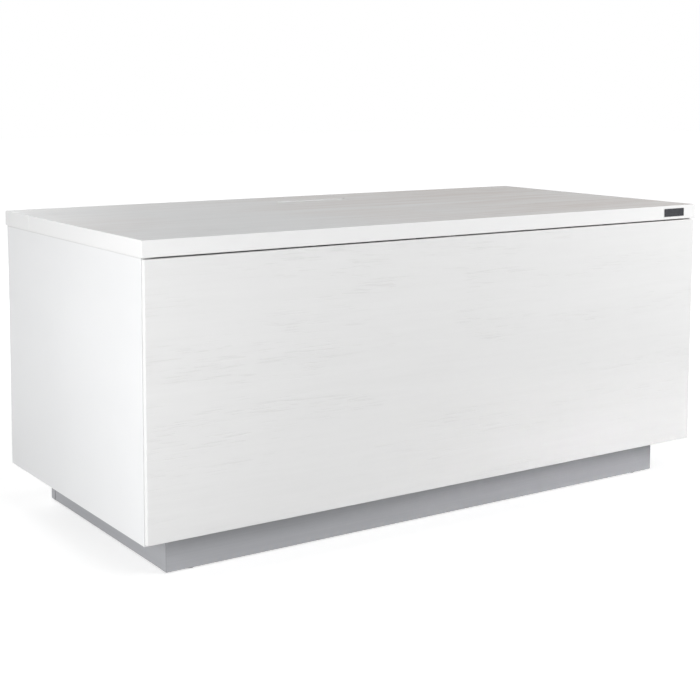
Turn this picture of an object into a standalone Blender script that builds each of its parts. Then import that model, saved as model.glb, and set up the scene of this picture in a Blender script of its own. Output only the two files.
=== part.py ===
"""A low AV stand: a white cabinet with one drop-down front flap, on a recessed grey plinth.

The flap turns down on three pivot hinges, two sliding stays hold it open, and a push latch
keeps it shut. The rear strip of the top is a cover that lifts off above the cable duct.
Metres, +Z up. The front faces -Y, and the origin is on the floor under the centre.
"""

import math

import bmesh
import bpy
from mathutils import Matrix, Vector

# Gap between two pieces that touch
FIT = 0.0003

# Cabinet boards
TOP_WIDTH = 1.040
TOP_DEPTH = 0.500
TOP_T = 0.0235
TOP_EDGE_R = 0.0010
TOP_OVERHANG = 0.0030
SIDE_HEIGHT = 0.3877
BOARD_T = 0.016
BOARD_EDGE_R = 0.0006
PARTITION_SETBACK = 0.0035

# Cable cover, the rear strip of the top, and the duct under it
COVER_DEPTH = 0.100
SEAM = 0.0006
SLOT_WIDTH = 0.140
SLOT_DEPTH = 0.015
SLOT_CORNER_R = 0.004
PEG_R = 0.004
PEG_REACH = 0.012
PEG_PLAY = 0.0004
PEG_INSET = 0.025
RAIL_HEIGHT = 0.060
REAR_PANEL_T = 0.003
REAR_PANEL_INSET = 0.002
REAR_PANEL_MARGIN = 0.002

# Cable ports through the inner back and the rear panel
PORT_WIDTH = 0.080
PORT_SILL = 0.070
PORT_HEAD = 0.070
PORT_CORNER_R = 0.015
OUTLET_WIDTH = 0.120
OUTLET_HEIGHT = 0.060
OUTLET_SILL = 0.015
OUTLET_OFFSET = 0.255

# Adjustable shelves on pins
SHELF_RISE = 0.186
SHELF_SETBACK = 0.060
SHELF_REAR_GAP = 0.014
SHELF_PLAY = 0.002
PIN_R = 0.0025
PIN_WEB = 0.003
PIN_REACH = 0.009
PIN_COLLAR_R = 0.0038
PIN_COLLAR_T = 0.0012
PIN_INSET = 0.050
PIN_PITCH = 0.032
PIN_ROWS = 3

# Front flap
FLAP_T = 0.008
FLAP_EDGE_R = 0.0015
FLAP_GAP = 0.0010
FLAP_REVEAL = 0.0002
FLAP_LIFT = 0.0028
FLAP_TOP_GAP = 0.0022

# Plinth and its glides
PLINTH_HEIGHT = 0.0542
PLINTH_T = 0.016
PLINTH_EDGE_R = 0.0006
PLINTH_STEP = 0.0005
PLINTH_FRONT_RECESS = 0.041
PLINTH_SIDE_RECESS = 0.0475
PLINTH_REAR_RECESS = 0.0468
GLIDE_R = 0.0065
GLIDE_T = 0.0015
GLIDE_INSET = 0.040

# Plate on the front edge of the top
BADGE_WIDTH = 0.046
BADGE_HEIGHT = 0.0134
BADGE_T = 0.0008
BADGE_EDGE_R = 0.0003
BADGE_INSET = 0.0295

# Pivot hinges: how far the axis lies behind the flap, and the sheet metal round it
HINGE_BACK = 0.025
SWING_CLEARANCE = 0.0003
PLATE_T = 0.0025
PLATE_HALF_WIDTH = 0.0055
PLATE_RISE = 0.055
ARM_T = 0.0025
ARM_EYE_R = 0.0053
ARM_FOOT_WIDTH = 0.030
ARM_FOOT_HEIGHT = 0.040
ARM_FOOT_CLEARANCE = 0.006
PIVOT_R = 0.003
PIVOT_HEAD_R = 0.005
PIVOT_HEAD_T = 0.0018
PIVOT_SPACE = 0.0008
NOTCH_CLEARANCE = 0.0018

# Flap stays: both pivots lie at one radius from the hinge axis
STAY_RADIUS = 0.140
STAY_ANGLE = math.radians(35.0)
FLAP_OPENING = math.radians(90.0)
ROD_T = 0.003
ROD_WIDTH = 0.010
ROD_EYE_R = 0.007
ROD_TAIL = 0.005
ROD_EYE_CLEARANCE = 0.0022
STOP_R = 0.0025
STOP_LENGTH = 0.012
STOP_CLEARANCE = 0.0006
HOUSING_LENGTH = 0.036
HOUSING_HEIGHT = 0.018
HOUSING_WALL = 0.0028
HOUSING_EDGE_R = 0.0012
STAY_SPACE = 0.0006
SPIGOT_R = 0.004
SPIGOT_LENGTH = 0.0065
SPIGOT_WEB = 0.0016
FLANGE_HALF_LENGTH = 0.014
FLANGE_R = 0.009
ANCHOR_EYE_R = 0.006
ANCHOR_FOOT_WIDTH = 0.024
ANCHOR_FOOT_HEIGHT = 0.036
STAY_PIN_R = 0.0025
STAY_PIN_HEAD_R = 0.0045
STAY_PIN_HEAD_T = 0.0016

# Push latch on the partition
LATCH_WIDTH = 0.014
LATCH_LENGTH = 0.060
LATCH_SETBACK = 0.0055
LATCH_DROP = 0.016
LATCH_EDGE_R = 0.0010
LATCH_BACK_WALL = 0.003
PLUNGER_R = 0.004
PLUNGER_PLAY = 0.0004
PLUNGER_LENGTH = 0.046
PLUNGER_TRAVEL = 0.020
MAGNET_T = 0.003
STRIKE_SIDE = 0.022
STRIKE_T = 0.001

# Screws of the rear panel
SCREW_HEAD_R = 0.0036
SCREW_HEAD_T = 0.0018
SCREW_R = 0.0018
SCREW_LENGTH = 0.015
SCREW_INSET = 0.040

# Facets round a hole, a pin and a rounded corner
HOLE_SIDES = 10
PIN_SIDES = 16
CORNER_STEPS = 4

# Heights
PLINTH_BOTTOM = GLIDE_T + FIT
PLINTH_TOP = PLINTH_BOTTOM + PLINTH_HEIGHT
CARCASS_BOTTOM = PLINTH_TOP + FIT
FLOOR_TOP = CARCASS_BOTTOM + BOARD_T
CARCASS_TOP = CARCASS_BOTTOM + SIDE_HEIGHT
TOP_UNDER = CARCASS_TOP + FIT
TOP_SURFACE = TOP_UNDER + TOP_T
SHELF_UNDER = FLOOR_TOP + SHELF_RISE
FLAP_BOTTOM = CARCASS_BOTTOM + FLAP_LIFT
FLAP_TOP = TOP_UNDER - FLAP_TOP_GAP

# Widths, measured from the centre
TOP_HALF = TOP_WIDTH / 2
SIDE_OUT = TOP_HALF - TOP_OVERHANG
SIDE_IN = SIDE_OUT - BOARD_T
PARTITION_HALF = BOARD_T / 2
PLINTH_HALF = SIDE_OUT - PLINTH_SIDE_RECESS
BAY_MIDDLE = (PARTITION_HALF + SIDE_IN) / 2

# Depths, from the front to the rear
FRONT = -TOP_DEPTH / 2
REAR = TOP_DEPTH / 2
FLAP_BACK = FRONT + FLAP_T
CARCASS_FRONT = FLAP_BACK + FLAP_GAP
PARTITION_FRONT = CARCASS_FRONT + PARTITION_SETBACK
SHELF_FRONT = CARCASS_FRONT + SHELF_SETBACK
COVER_FRONT = REAR - COVER_DEPTH
INNER_BACK_REAR = COVER_FRONT - SEAM
INNER_BACK_FRONT = INNER_BACK_REAR - BOARD_T
SHELF_REAR = INNER_BACK_FRONT - SHELF_REAR_GAP
REAR_PANEL_REAR = REAR - REAR_PANEL_INSET
REAR_PANEL_FRONT = REAR_PANEL_REAR - REAR_PANEL_T
BOARD_REAR = REAR_PANEL_FRONT - FIT
PLINTH_FRONT = FRONT + PLINTH_FRONT_RECESS
PLINTH_REAR = REAR - PLINTH_REAR_RECESS

# Hinge axis: as high as the flap's inner face allows when it swings round the carcass's lower corner
AXIS_Y = FLAP_BACK + HINGE_BACK
HINGE_RISE = math.sqrt((HINGE_BACK - SWING_CLEARANCE) ** 2 - (HINGE_BACK - FLAP_GAP) ** 2)
AXIS_Z = CARCASS_BOTTOM + HINGE_RISE

# Hinge layers, from the board's face inwards
PLATE_IN = FIT + PLATE_T
ARM_OUT = PLATE_IN + PIVOT_SPACE
ARM_IN = ARM_OUT + ARM_T
PIVOT_HEAD_OUT = ARM_IN + FIT
PIVOT_HEAD_IN = PIVOT_HEAD_OUT + PIVOT_HEAD_T
NOTCH_IN = PIVOT_HEAD_IN + NOTCH_CLEARANCE
ARM_FOOT_BOTTOM = FLOOR_TOP + ARM_FOOT_CLEARANCE
ARM_FOOT_TOP = ARM_FOOT_BOTTOM + ARM_FOOT_HEIGHT
FOOT_FRONT = FLAP_BACK + FIT

# Stay layers, from the side's inner face inwards
HOUSING_OUT = PLATE_IN + FIT
SPIGOT_IN = PLATE_IN + SPIGOT_LENGTH
SPIGOT_BORE_IN = SPIGOT_IN + FIT
ROD_OUT = SPIGOT_BORE_IN + SPIGOT_WEB + FIT
ROD_IN = ROD_OUT + ROD_T
HOUSING_IN = ROD_IN + FIT + HOUSING_WALL
ANCHOR_IN = ROD_OUT - STAY_SPACE
ANCHOR_OUT = ANCHOR_IN - ARM_T
STAY_PIN_HEAD_OUT = ROD_IN + FIT
STAY_PIN_HEAD_IN = STAY_PIN_HEAD_OUT + STAY_PIN_HEAD_T

# Stay pivots: the rod's eye on the flap and the housing's spigot on the side
EYE_Y = FOOT_FRONT + ARM_T + ROD_EYE_R + ROD_EYE_CLEARANCE
EYE_Z = AXIS_Z + math.sqrt(STAY_RADIUS ** 2 - (AXIS_Y - EYE_Y) ** 2)
SPIGOT_Y = AXIS_Y + STAY_RADIUS * math.sin(STAY_ANGLE)
SPIGOT_Z = AXIS_Z + STAY_RADIUS * math.cos(STAY_ANGLE)
ROD_TILT = math.atan2(SPIGOT_Z - EYE_Z, SPIGOT_Y - EYE_Y)
SHUT_ANGLE = STAY_ANGLE + math.asin((AXIS_Y - EYE_Y) / STAY_RADIUS)
OPEN_SPAN = 2 * STAY_RADIUS * math.sin((SHUT_ANGLE + FLAP_OPENING) / 2)
STOP_AT = OPEN_SPAN + HOUSING_LENGTH / 2 + STOP_CLEARANCE + STOP_R
ROD_END = STOP_AT + ROD_TAIL

# Latch
LATCH_X = -(PARTITION_HALF + FIT + LATCH_WIDTH / 2)
LATCH_Z = TOP_UNDER - LATCH_DROP
LATCH_FRONT = CARCASS_FRONT + LATCH_SETBACK
LATCH_REAR = LATCH_FRONT + LATCH_LENGTH
STRIKE_REAR = FLAP_BACK + FIT + STRIKE_T
MAGNET_FRONT = STRIKE_REAR + FIT
PLUNGER_FRONT = MAGNET_FRONT + MAGNET_T + FIT
PLUNGER_REAR = PLUNGER_FRONT + PLUNGER_LENGTH


def new_collection(name):
    made = bpy.data.collections.new(name)
    bpy.context.scene.collection.children.link(made)
    return made


def new_material(name, colour, roughness, metallic=0.0):
    made = bpy.data.materials.new(name)
    made.use_nodes = True
    shader = made.node_tree.nodes["Principled BSDF"]
    shader.inputs["Base Color"].default_value = (*colour, 1.0)
    shader.inputs["Roughness"].default_value = roughness
    shader.inputs["Metallic"].default_value = metallic
    return made


for old in list(bpy.data.objects):
    bpy.data.objects.remove(old, do_unlink=True)

PARTS = new_collection("av_stand")
CUTTERS = new_collection("av_stand_cutters")

WHITE_GRAIN = new_material("white_embossed_grain", (0.80, 0.80, 0.79), 0.38)
WHITE_SMOOTH = new_material("white_smooth_laminate", (0.84, 0.84, 0.84), 0.32)
WHITE_INSIDE = new_material("white_inside_laminate", (0.80, 0.80, 0.80), 0.45)
WHITE_HARDBOARD = new_material("white_hardboard", (0.76, 0.76, 0.75), 0.55)
GREY_PLINTH = new_material("grey_plinth", (0.33, 0.34, 0.36), 0.42, 0.2)
STEEL = new_material("plated_steel", (0.62, 0.63, 0.65), 0.32, 1.0)
ZINC = new_material("die_cast_zinc", (0.46, 0.47, 0.49), 0.45, 1.0)
GREY_PLASTIC = new_material("grey_plastic", (0.42, 0.43, 0.44), 0.5)
MAGNET = new_material("dark_magnet", (0.05, 0.05, 0.055), 0.4, 0.6)
BADGE = new_material("dark_plate", (0.03, 0.03, 0.034), 0.3, 0.5)


def add(name, mesh, material, location=(0.0, 0.0, 0.0), tilt=0.0):
    """A part, tilted about its own X axis."""
    made = bpy.data.objects.new(name, mesh)
    made.location = location
    made.rotation_euler = (tilt, 0.0, 0.0)
    mesh.materials.append(material)
    PARTS.objects.link(made)
    return made


def add_axis(name, location):
    """An empty on a joint's axis."""
    made = bpy.data.objects.new(name, None)
    made.location = location
    made.empty_display_size = 0.03
    PARTS.objects.link(made)
    return made


def hang(part, axis):
    """The part keeps its place and follows the axis."""
    part.parent = axis
    part.matrix_parent_inverse = Matrix.Translation(axis.location).inverted()


def finished(shape, name):
    """A mesh from a bmesh, with flat faces and smooth round ones."""
    bmesh.ops.recalc_face_normals(shape, faces=shape.faces)
    mesh = bpy.data.meshes.new(name)
    shape.to_mesh(mesh)
    shape.free()
    mesh.shade_smooth()
    mesh.set_sharp_from_angle(angle=math.radians(35))
    return mesh


def evaluated(maker, name):
    """The finished mesh of a helper object, which is then removed."""
    CUTTERS.objects.link(maker)
    bpy.context.view_layer.update()
    graph = bpy.context.evaluated_depsgraph_get()
    mesh = bpy.data.meshes.new_from_object(maker.evaluated_get(graph))
    shape = bmesh.new()
    shape.from_mesh(mesh)
    bmesh.ops.remove_doubles(shape, verts=shape.verts, dist=0.000002)
    bpy.data.meshes.remove(mesh)
    bpy.data.objects.remove(maker, do_unlink=True)
    return finished(shape, name)


def box_mesh(name, x, y, z, middle=(0.0, 0.0, 0.0)):
    """A box between these (low, high) pairs, about the given middle."""
    size = Vector((x[1] - x[0], y[1] - y[0], z[1] - z[0]))
    centre = Vector((x[0] + x[1], y[0] + y[1], z[0] + z[1])) / 2 - Vector(middle)
    shape = bmesh.new()
    bmesh.ops.create_cube(
        shape, size=1.0, matrix=Matrix.Translation(centre) @ Matrix.Diagonal((*size, 1.0))
    )
    return finished(shape, name)


def cylinder_mesh(name, start, end, radius, sides=HOLE_SIDES):
    """A cylinder from one point to another."""
    along = Vector(end) - Vector(start)
    turn = along.to_track_quat("Z", "Y").to_matrix().to_4x4()
    place = Matrix.Translation((Vector(start) + Vector(end)) / 2) @ turn
    shape = bmesh.new()
    bmesh.ops.create_cone(
        shape,
        cap_ends=True,
        segments=sides,
        radius1=radius,
        radius2=radius,
        depth=along.length,
        matrix=place,
    )
    return finished(shape, name)


def plate_mesh(name, outlines, thickness, upright=True):
    """A flat plate from closed outlines: the first is its edge and the others are holes.

    An upright plate lies in Y and Z with its thickness along X, and any other one in X and Y.
    """
    curve = bpy.data.curves.new(name, "CURVE")
    curve.dimensions = "2D"
    curve.fill_mode = "BOTH"
    curve.extrude = thickness / 2
    for outline in outlines:
        spline = curve.splines.new("POLY")
        spline.points.add(len(outline) - 1)
        for point, (across, up) in zip(spline.points, outline):
            point.co = (across, up, 0.0, 1.0)
        spline.use_cyclic_u = True
    mesh = evaluated(bpy.data.objects.new(name, curve), name)
    if upright:
        mesh.transform(Matrix.Rotation(math.pi / 2, 4, "Z") @ Matrix.Rotation(math.pi / 2, 4, "X"))
    return mesh


def turned_mesh(name, profile, axis, sides=PIN_SIDES):
    """A turned solid from (radius, height) points, which run down its outer side, along an axis."""
    line = bpy.data.meshes.new(name)
    points = [(radius, 0.0, height) for radius, height in profile]
    line.from_pydata(points, [(i, i + 1) for i in range(len(points) - 1)], [])
    maker = bpy.data.objects.new(name, line)
    screw = maker.modifiers.new("turn", "SCREW")
    screw.steps = sides
    screw.render_steps = sides
    screw.use_merge_vertices = True
    screw.merge_threshold = 0.00001
    mesh = evaluated(maker, name)
    mesh.transform(Vector(axis).to_track_quat("Z", "Y").to_matrix().to_4x4())
    return mesh


def arc(centre, radius, start, end, steps):
    """Points on an arc between two angles, in degrees."""
    angles = [math.radians(start + (end - start) * i / steps) for i in range(steps + 1)]
    return [(centre[0] + radius * math.cos(a), centre[1] + radius * math.sin(a)) for a in angles]


def circle(centre, radius, sides=PIN_SIDES):
    return arc(centre, radius, 0, 360, sides)[:-1]


def rounded_rectangle(width, height, radius):
    across = width / 2 - radius
    up = height / 2 - radius
    return (
        arc((across, up), radius, 0, 90, CORNER_STEPS)
        + arc((-across, up), radius, 90, 180, CORNER_STEPS)
        + arc((-across, -up), radius, 180, 270, CORNER_STEPS)
        + arc((across, -up), radius, 270, 360, CORNER_STEPS)
    )


def bevel(part, radius, segments=2):
    made = part.modifiers.new("edges", "BEVEL")
    made.width = radius
    made.segments = segments
    made.limit_method = "ANGLE"
    made.angle_limit = math.radians(40)
    return part


def board(name, x, y, z, material, edge):
    """A board between these (low, high) pairs, with its edges rounded."""
    middle = [(low + high) / 2 for low, high in (x, y, z)]
    return bevel(add(name, box_mesh(name, x, y, z, middle), material, middle), edge)


def boolean(part, operation, meshes):
    """Joins these meshes, in world coordinates and clear of each other, to the part or cuts them out."""
    shape = bmesh.new()
    for mesh in meshes:
        shape.from_mesh(mesh)
        bpy.data.meshes.remove(mesh)
    name = f"{part.name}_{operation.lower()}_{len(part.modifiers)}"
    helper = bpy.data.objects.new(name, finished(shape, name))
    helper.hide_render = True
    helper.display_type = "WIRE"
    CUTTERS.objects.link(helper)
    made = part.modifiers.new(operation.lower(), "BOOLEAN")
    made.operation = operation
    made.solver = "EXACT"
    made.object = helper
    return part


def cut(part, *meshes):
    return boolean(part, "DIFFERENCE", meshes)


def join(part, *meshes):
    return boolean(part, "UNION", meshes)


def inwards(face, way, near, far):
    """The X range of a layer between two depths, from a board's face towards the inside."""
    return tuple(sorted((face + way * near, face + way * far)))


def beyond(low, high, amount=0.002):
    """A cutter's range, taken past both faces that it goes through."""
    return (low - amount, high + amount)


# Top, with the cable cover behind it
top_panel = board(
    "top_panel",
    (-TOP_HALF, TOP_HALF),
    (FRONT, COVER_FRONT - SEAM),
    (TOP_UNDER, TOP_SURFACE),
    WHITE_GRAIN,
    TOP_EDGE_R,
)

cover_axis = add_axis("cable_cover_axis", (0.0, COVER_FRONT + COVER_DEPTH / 2, TOP_UNDER))
cable_cover = board(
    "cable_cover",
    (-TOP_HALF, TOP_HALF),
    (COVER_FRONT, REAR),
    (TOP_UNDER, TOP_SURFACE),
    WHITE_GRAIN,
    TOP_EDGE_R,
)
slot = plate_mesh(
    "slot", [rounded_rectangle(SLOT_WIDTH, 2 * SLOT_DEPTH, SLOT_CORNER_R)], 2 * TOP_T, upright=False
)
slot.transform(Matrix.Translation((0.0, COVER_FRONT, (TOP_UNDER + TOP_SURFACE) / 2)))
cut(cable_cover, slot)
PEG_PLACES = [
    (side * (SIDE_IN + SIDE_OUT) / 2, depth)
    for side in (-1, 1)
    for depth in (COVER_FRONT + PEG_INSET, REAR - PEG_INSET)
]
join(
    cable_cover,
    *[
        cylinder_mesh("peg", (x, y, TOP_UNDER - PEG_REACH), (x, y, TOP_UNDER + TOP_T / 2), PEG_R, PIN_SIDES)
        for x, y in PEG_PLACES
    ],
)
hang(cable_cover, cover_axis)

# Sides, bottom, partition and backs
SHELF_PIN_DEPTHS = (SHELF_FRONT + PIN_INSET, SHELF_REAR - PIN_INSET)
PIN_Z = SHELF_UNDER - FIT - PIN_R
PIN_BITE = (BOARD_T - PIN_WEB) / 2


def pin_holes(face, way):
    """The rows of shelf-pin holes in a board's face, drilled against the way that the face looks."""
    middle = (PIN_ROWS - 1) / 2
    return [
        cylinder_mesh(
            "pin_hole",
            (face + way * FIT * 4, depth, PIN_Z + (row - middle) * PIN_PITCH),
            (face - way * PIN_BITE, depth, PIN_Z + (row - middle) * PIN_PITCH),
            PIN_R + FIT,
        )
        for depth in SHELF_PIN_DEPTHS
        for row in range(PIN_ROWS)
    ]


for tag, side in (("left", -1), ("right", 1)):
    panel = board(
        f"side_panel_{tag}",
        tuple(sorted((side * SIDE_IN, side * SIDE_OUT))),
        (CARCASS_FRONT, REAR),
        (CARCASS_BOTTOM, CARCASS_TOP),
        WHITE_SMOOTH,
        BOARD_EDGE_R,
    )
    peg_holes = [
        cylinder_mesh(
            "peg_hole",
            (x, y, CARCASS_TOP - PEG_REACH - PEG_PLAY),
            (x, y, CARCASS_TOP + PEG_PLAY * 4),
            PEG_R + PEG_PLAY,
        )
        for x, y in PEG_PLACES
        if x * side > 0
    ]
    cut(panel, *peg_holes, *pin_holes(side * SIDE_IN, -side))

HINGES = (
    ("left", -SIDE_IN, 1),
    ("middle", PARTITION_HALF, 1),
    ("right", SIDE_IN, -1),
)

bottom_panel = board(
    "bottom_panel",
    (-SIDE_IN + FIT, SIDE_IN - FIT),
    (CARCASS_FRONT, BOARD_REAR),
    (CARCASS_BOTTOM, FLOOR_TOP),
    WHITE_INSIDE,
    BOARD_EDGE_R,
)
cut(
    bottom_panel,
    *[
        box_mesh(
            "notch",
            inwards(face, way, -NOTCH_CLEARANCE if tag != "middle" else 0.0, NOTCH_IN),
            (CARCASS_FRONT - NOTCH_CLEARANCE, AXIS_Y + PLATE_HALF_WIDTH + NOTCH_CLEARANCE),
            beyond(CARCASS_BOTTOM, FLOOR_TOP),
        )
        for tag, face, way in HINGES
    ],
)

partition = board(
    "centre_partition",
    (-PARTITION_HALF, PARTITION_HALF),
    (PARTITION_FRONT, INNER_BACK_FRONT - FIT),
    (FLOOR_TOP + FIT, CARCASS_TOP),
    WHITE_INSIDE,
    BOARD_EDGE_R,
)
cut(partition, *pin_holes(-PARTITION_HALF, -1), *pin_holes(PARTITION_HALF, 1))

PORT_BOTTOM = FLOOR_TOP + PORT_SILL
PORT_TOP = CARCASS_TOP - PORT_HEAD
inner_back = board(
    "inner_back",
    (-SIDE_IN + FIT, SIDE_IN - FIT),
    (INNER_BACK_FRONT, INNER_BACK_REAR),
    (FLOOR_TOP + FIT, CARCASS_TOP),
    WHITE_INSIDE,
    BOARD_EDGE_R,
)
ports = []
for side in (-1, 1):
    port = plate_mesh(
        "port", [rounded_rectangle(PORT_WIDTH, PORT_TOP - PORT_BOTTOM, PORT_CORNER_R)], 2 * BOARD_T
    )
    port.transform(Matrix.Rotation(math.pi / 2, 4, "Z"))
    port.transform(
        Matrix.Translation(
            (side * BAY_MIDDLE, (INNER_BACK_FRONT + INNER_BACK_REAR) / 2, (PORT_BOTTOM + PORT_TOP) / 2)
        )
    )
    ports.append(port)
cut(inner_back, *ports)

rear_rail = board(
    "rear_rail",
    (-SIDE_IN + FIT, SIDE_IN - FIT),
    (BOARD_REAR - BOARD_T, BOARD_REAR),
    (CARCASS_TOP - RAIL_HEIGHT, CARCASS_TOP),
    WHITE_INSIDE,
    BOARD_EDGE_R,
)

rear_panel = add(
    "rear_panel",
    box_mesh(
        "rear_panel",
        (-SIDE_IN + FIT, SIDE_IN - FIT),
        (REAR_PANEL_FRONT, REAR_PANEL_REAR),
        (CARCASS_BOTTOM + REAR_PANEL_MARGIN, CARCASS_TOP - REAR_PANEL_MARGIN),
        (0.0, REAR_PANEL_REAR, CARCASS_BOTTOM),
    ),
    WHITE_HARDBOARD,
    (0.0, REAR_PANEL_REAR, CARCASS_BOTTOM),
)
SCREW_PLACES = [
    (x, z)
    for z in (CARCASS_BOTTOM + BOARD_T / 2, CARCASS_TOP - RAIL_HEIGHT / 2)
    for x in (-SIDE_IN + SCREW_INSET, 0.0, SIDE_IN - SCREW_INSET)
]
SCREW_PROFILE = [
    (0.0, 0.0),
    (SCREW_HEAD_R, 0.0),
    (SCREW_R, -SCREW_HEAD_T),
    (SCREW_R, -SCREW_LENGTH),
    (0.0, -SCREW_LENGTH),
]
SCREW_HOLE = [
    (0.0, 2 * FIT),
    (SCREW_HEAD_R + FIT, 2 * FIT),
    (SCREW_HEAD_R + FIT, -FIT),
    (SCREW_R + FIT, -SCREW_HEAD_T - FIT),
    (SCREW_R + FIT, -SCREW_LENGTH - FIT),
    (0.0, -SCREW_LENGTH - FIT),
]


def screw_holes(level):
    """The screws' holes at this height, from the rear."""
    holes = []
    for x, z in SCREW_PLACES:
        if z in level:
            hole = turned_mesh("screw_hole", SCREW_HOLE, (0, 1, 0), HOLE_SIDES)
            hole.transform(Matrix.Translation((x, REAR_PANEL_REAR, z)))
            holes.append(hole)
    return holes


LOW_SCREWS, HIGH_SCREWS = SCREW_PLACES[0][1], SCREW_PLACES[-1][1]
outlets = []
for side in (-1, 1):
    outlet = plate_mesh(
        "outlet", [rounded_rectangle(OUTLET_WIDTH, OUTLET_HEIGHT, PORT_CORNER_R)], 4 * REAR_PANEL_T
    )
    outlet.transform(Matrix.Rotation(math.pi / 2, 4, "Z"))
    outlet.transform(
        Matrix.Translation(
            (side * OUTLET_OFFSET, REAR_PANEL_REAR, FLOOR_TOP + OUTLET_SILL + OUTLET_HEIGHT / 2)
        )
    )
    outlets.append(outlet)
cut(rear_panel, *outlets, *screw_holes((LOW_SCREWS, HIGH_SCREWS)))
cut(bottom_panel, *screw_holes((LOW_SCREWS,)))
cut(rear_rail, *screw_holes((HIGH_SCREWS,)))
for number, (x, z) in enumerate(SCREW_PLACES, 1):
    screw = turned_mesh(f"rear_screw_{number}", SCREW_PROFILE, (0, 1, 0), HOLE_SIDES)
    add(f"rear_screw_{number}", screw, STEEL, (x, REAR_PANEL_REAR, z))

# Shelves and their pins
PIN_PROFILE = [
    (0.0, PIN_REACH),
    (PIN_R, PIN_REACH),
    (PIN_R, FIT + PIN_COLLAR_T),
    (PIN_COLLAR_R, FIT + PIN_COLLAR_T),
    (PIN_COLLAR_R, FIT),
    (PIN_R, FIT),
    (PIN_R, FIT - PIN_BITE),
    (0.0, FIT - PIN_BITE),
]
for tag, side in (("left", -1), ("right", 1)):
    board(
        f"shelf_{tag}",
        tuple(sorted((side * (PARTITION_HALF + SHELF_PLAY), side * (SIDE_IN - SHELF_PLAY)))),
        (SHELF_FRONT, SHELF_REAR),
        (SHELF_UNDER, SHELF_UNDER + BOARD_T),
        WHITE_INSIDE,
        BOARD_EDGE_R,
    )
    for end, face, way in (("inner", side * PARTITION_HALF, side), ("outer", side * SIDE_IN, -side)):
        for row, depth in zip(("front", "rear"), SHELF_PIN_DEPTHS):
            name = f"shelf_pin_{tag}_{end}_{row}"
            add(name, turned_mesh(name, PIN_PROFILE, (way, 0, 0), HOLE_SIDES), STEEL, (face, depth, PIN_Z))

# Plinth frame, with the front and rear boards across the ends of the side boards, and glides
PLINTH_Z = (PLINTH_BOTTOM, PLINTH_TOP)
PLINTH_X = (-PLINTH_HALF, PLINTH_HALF)
FRONT_BOARD_REAR = PLINTH_FRONT + PLINTH_T
REAR_BOARD_FRONT = PLINTH_REAR - PLINTH_T
board("plinth_front", PLINTH_X, (PLINTH_FRONT, FRONT_BOARD_REAR), PLINTH_Z, GREY_PLINTH, PLINTH_EDGE_R)
board("plinth_rear", PLINTH_X, (REAR_BOARD_FRONT, PLINTH_REAR), PLINTH_Z, GREY_PLINTH, PLINTH_EDGE_R)
for tag, side in (("left", -1), ("right", 1)):
    outer = PLINTH_HALF - PLINTH_STEP
    board(
        f"plinth_{tag}",
        tuple(sorted((side * (outer - PLINTH_T), side * outer))),
        (FRONT_BOARD_REAR + FIT, REAR_BOARD_FRONT - FIT),
        PLINTH_Z,
        GREY_PLINTH,
        PLINTH_EDGE_R,
    )
    for row, depth in (("front", PLINTH_FRONT), ("rear", REAR_BOARD_FRONT)):
        name = f"glide_{row}_{tag}"
        x = side * (PLINTH_HALF - GLIDE_INSET)
        y = depth + PLINTH_T / 2
        add(
            name,
            cylinder_mesh(name, (0.0, 0.0, 0.0), (0.0, 0.0, GLIDE_T), GLIDE_R, PIN_SIDES),
            GREY_PLASTIC,
            (x, y, 0.0),
        )

# Dark plate at the right end of the top's front edge
BADGE_RIGHT = TOP_HALF - BADGE_INSET
BADGE_MIDDLE = (TOP_UNDER + TOP_SURFACE) / 2
board(
    "badge_plate",
    (BADGE_RIGHT - BADGE_WIDTH, BADGE_RIGHT),
    (FRONT - FIT - BADGE_T, FRONT - FIT),
    (BADGE_MIDDLE - BADGE_HEIGHT / 2, BADGE_MIDDLE + BADGE_HEIGHT / 2),
    BADGE,
    BADGE_EDGE_R,
)

# Front flap, about its hinge axis
flap_axis = add_axis("flap_axis", (0.0, AXIS_Y, AXIS_Z))
flap = board(
    "flap_panel",
    (-SIDE_OUT + FLAP_REVEAL, SIDE_OUT - FLAP_REVEAL),
    (FRONT, FLAP_BACK),
    (FLAP_BOTTOM, FLAP_TOP),
    WHITE_GRAIN,
    FLAP_EDGE_R,
)
hang(flap, flap_axis)

# Pivot hinges: a plate on the board, an arm on the flap, and the pin through both
PLATE_TOP = AXIS_Z + PLATE_RISE - PLATE_HALF_WIDTH
PLATE_OUTLINE = arc((0.0, 0.0), PLATE_HALF_WIDTH, 180, 360, 10) + arc(
    (0.0, PLATE_TOP - AXIS_Z), PLATE_HALF_WIDTH, 0, 180, 10
)
FOOT_BACK = FOOT_FRONT + ARM_T
ARM_OUTLINE = (
    [
        (FOOT_FRONT + FIT - AXIS_Y, ARM_FOOT_TOP - FIT - AXIS_Z),
        (FOOT_FRONT + FIT - AXIS_Y, ARM_FOOT_BOTTOM + FIT - AXIS_Z),
    ]
    + arc((0.0, 0.0), ARM_EYE_R, 200, 405, 14)
    + [(FOOT_BACK + ARM_T - AXIS_Y, ARM_FOOT_TOP - FIT - AXIS_Z)]
)
PIVOT_PROFILE = [
    (0.0, PIVOT_HEAD_IN),
    (PIVOT_HEAD_R, PIVOT_HEAD_IN),
    (PIVOT_HEAD_R, PIVOT_HEAD_OUT),
    (PIVOT_R, PIVOT_HEAD_OUT),
    (PIVOT_R, FIT),
    (0.0, FIT),
]
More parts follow.
